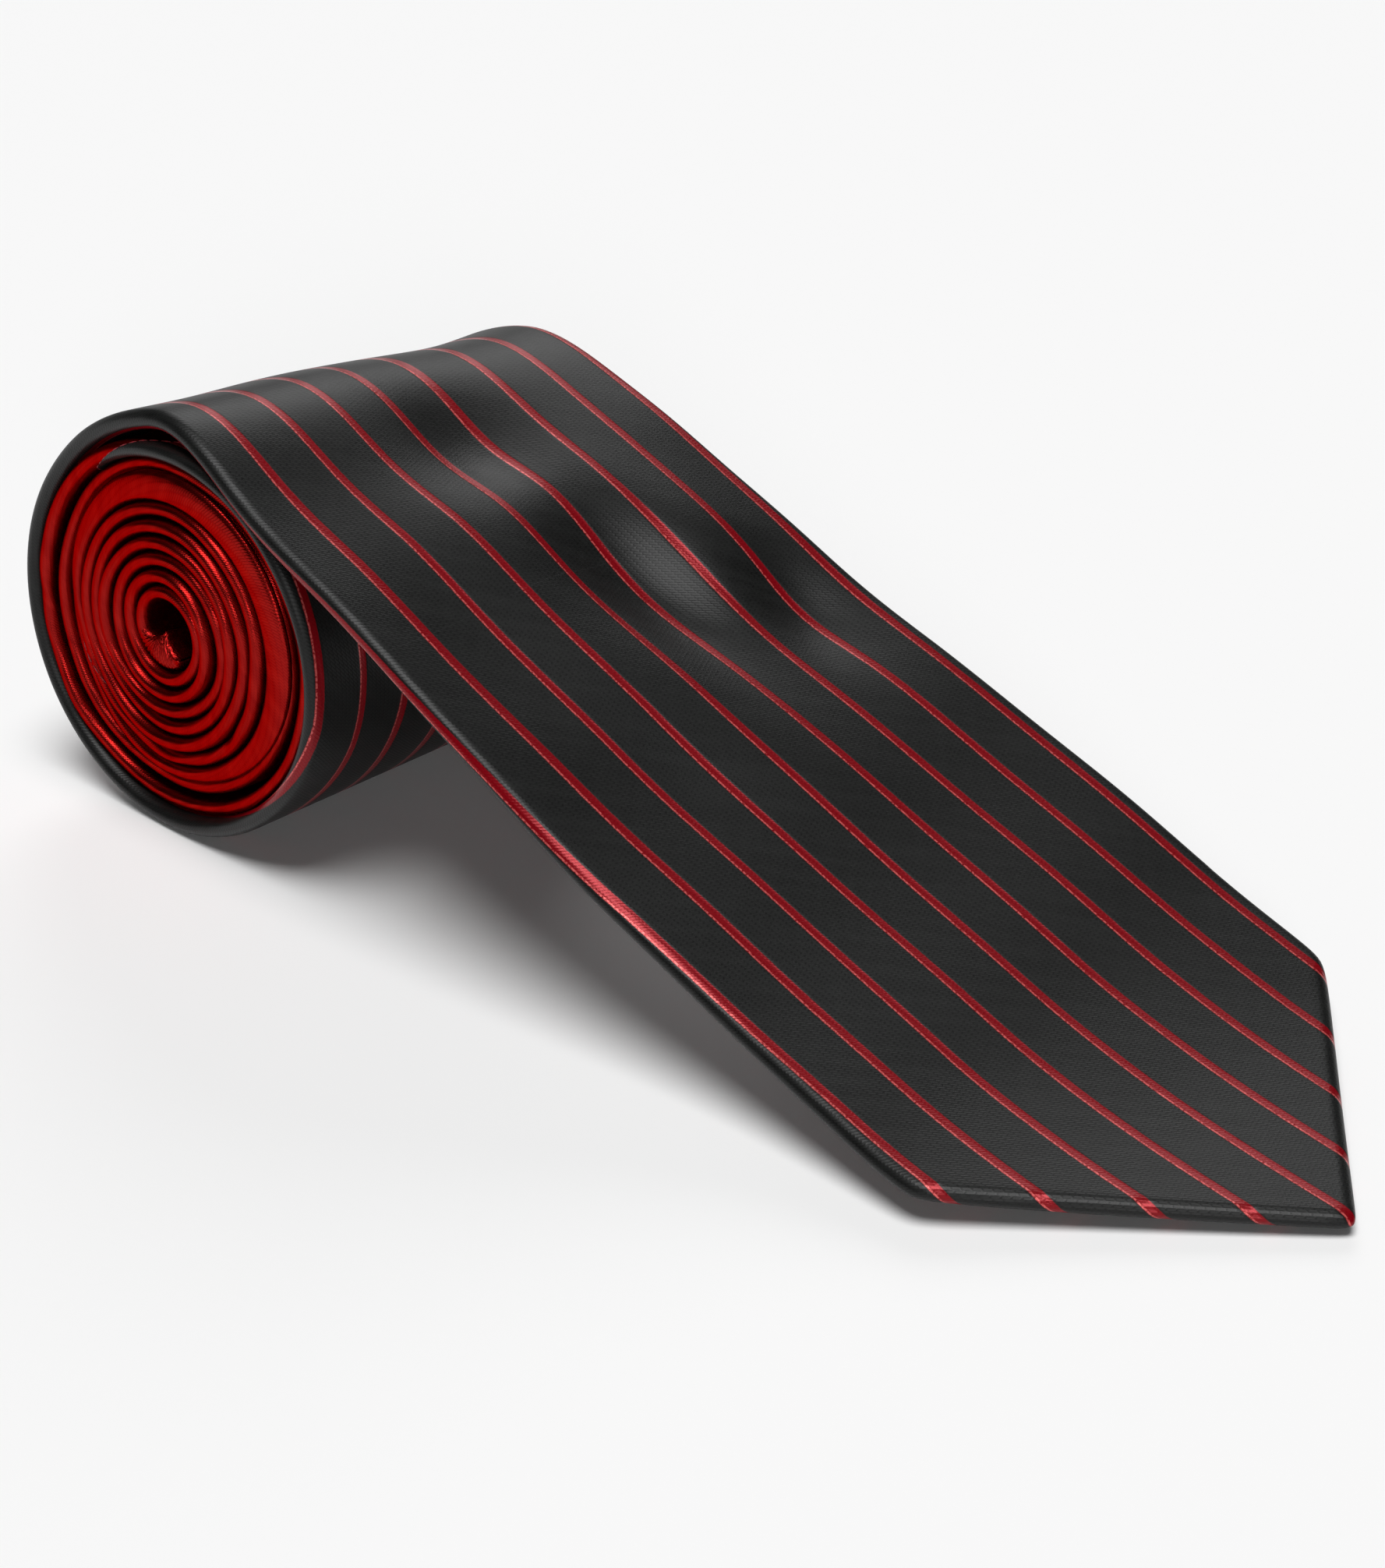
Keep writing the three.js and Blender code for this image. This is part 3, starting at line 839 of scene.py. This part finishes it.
def bar_tack(name, at, material):
    t = np.linspace(0, 1, tack_turns * 12 + 1)[None, :]
    swing = 2 * math.pi * tack_turns * t
    u = at + 0.55 * np.cos(swing)
    v = -tack_half + 2 * tack_half * t
    out = 0.16 + 0.34 * np.sin(swing)
    piece = sew(name + "_thread", on_back(u, v, out), tack_thread_radius, material)
    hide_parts(name)
    return piece


blade_bar_tack = bar_tack("blade_bar_tack", tip_tack_at, black_thread)
tail_bar_tack = bar_tack("tail_bar_tack", tie_end - tail_tack_from_end, red_thread)


# Label: a blank woven satin patch with a pale border lies across the back. A short row of stitches holds it
# down at each of its two ends.
label_near_at = 107.0
label_far_at = 123.0
label_half = 22.0
label_thickness = 0.32
dye = Dye("label satin")
x, y = dye.cloth()
border = dye.step((y - (label_near_at + label_far_at) / 2).maths("ABSOLUTE"), 6.2, 6.5)
grain = ((y * (1 / 0.3)).maths("FRACT") - 0.5).maths("ABSOLUTE")
label_satin = dye.finish(dye.mix(border, (0.012, 0.012, 0.013, 1), (0.12, 0.11, 0.10, 1)), 0.36,
                         grain * 0.04, 0.8)
label_at = stations(label_near_at, label_far_at, 0.8)
label_rest = -half_thickness(label_at)[:, None] - label_thickness
label_reach = np.full((len(label_at), 1), label_half)
label = strip("label_patch", label_at, label_reach, label_reach, label_rest, label_thickness / 2,
              label_satin, 61)
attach(label, "blade")
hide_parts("label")
for end, side in (("near", -1), ("far", 1)):
    at = np.arange(label_near_at + 0.8, label_far_at - 1.6, 1.9)[:, None]
    t = np.linspace(0, 1, 7)[None, :]
    v = side * (label_half - 1.2)
    out = 0.40 + 0.14 * np.sin(math.pi * t)
    name = "label_stitch_" + end
    row = sew(name + "_thread", on_back(at + 1.5 * t, v, out), thread_radius, black_thread)
    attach(row, "blade")
    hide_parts(name)


# Keeper: a loop of the blade's own cloth across the back that the tail is tucked through. Its ends are tacked
# down.
keeper_start = 131.0
keeper_end = 141.0
keeper_half = 20.0
keeper_thread_radius = 0.16
keeper_at = stations(keeper_start, keeper_end, 0.8)
keeper_u = keeper_at[:, None]
for end, side in (("near", -1), ("far", 1)):
    t = np.linspace(0, 1, 31)[None, :]
    v = side * keeper_half * (t if side == 1 else 1 - t)
    sag = 0.35 + 0.75 * (1 - (v / keeper_half) ** 2) ** 2
    rounding = 0.22 * np.sqrt(np.maximum(1 - np.linspace(-1, 1, len(keeper_at))[:, None] ** 6, 0.05))
    cloth = np.stack(np.broadcast_arrays(keeper_u, v), axis=-1)
    band = thick_sheet("keeper_band_" + end, on_back(keeper_u, v, sag - rounding),
                       on_back(keeper_u, v, sag + rounding), cloth, striped_satin)
    keeper_middle = (keeper_start + keeper_end) / 2
    middle_x, _, middle_z = on_back(np.array([keeper_middle]), np.array([0.0]), 1.1)[0]
    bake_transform(band)
    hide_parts("keeper_band")
    at = np.linspace(keeper_start + 1, keeper_end - 1, 9)[:, None]
    t = np.linspace(0, 1, 7)[None, :]
    name = "keeper_tack_" + end
    v = side * (keeper_half - 1.4 + 2.6 * t)
    out = 0.5 + 0.3 * np.sin(math.pi * t) - 0.55 * t
    tack = sew(name + "_thread", on_back(at, v, out), keeper_thread_radius, black_thread)
    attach(tack, "blade")
    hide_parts(name)


# The pieces along the blade keep the shape they were laid in: the blade rises off the roll at the crest, and
# its tip rises from the blade just past the tack. The rest of the thread and interlining is wound in with the
# roll.
tip_bend = (-0.004, 0.028)
tip_hinge = joints["tip_lift"]["pos_m"]
for piece in (shell_tip, interlining_tip, slip_stitch_tip, blade_tipping, blade_bar_tack):
    tip_hinge[0] + tip_bend[0]
    tip_hinge[0] + tip_bend[1]
    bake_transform(piece)
for piece in (shell_crest, interlining_crest, slip_stitch_crest):
    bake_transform(piece)
for piece in (shell_rolled, shell_neck, shell_tail, interlining_blade, interlining_tail, slip_stitch_rolled,
              tail_tipping, tail_bar_tack):
    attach(piece, "roll")
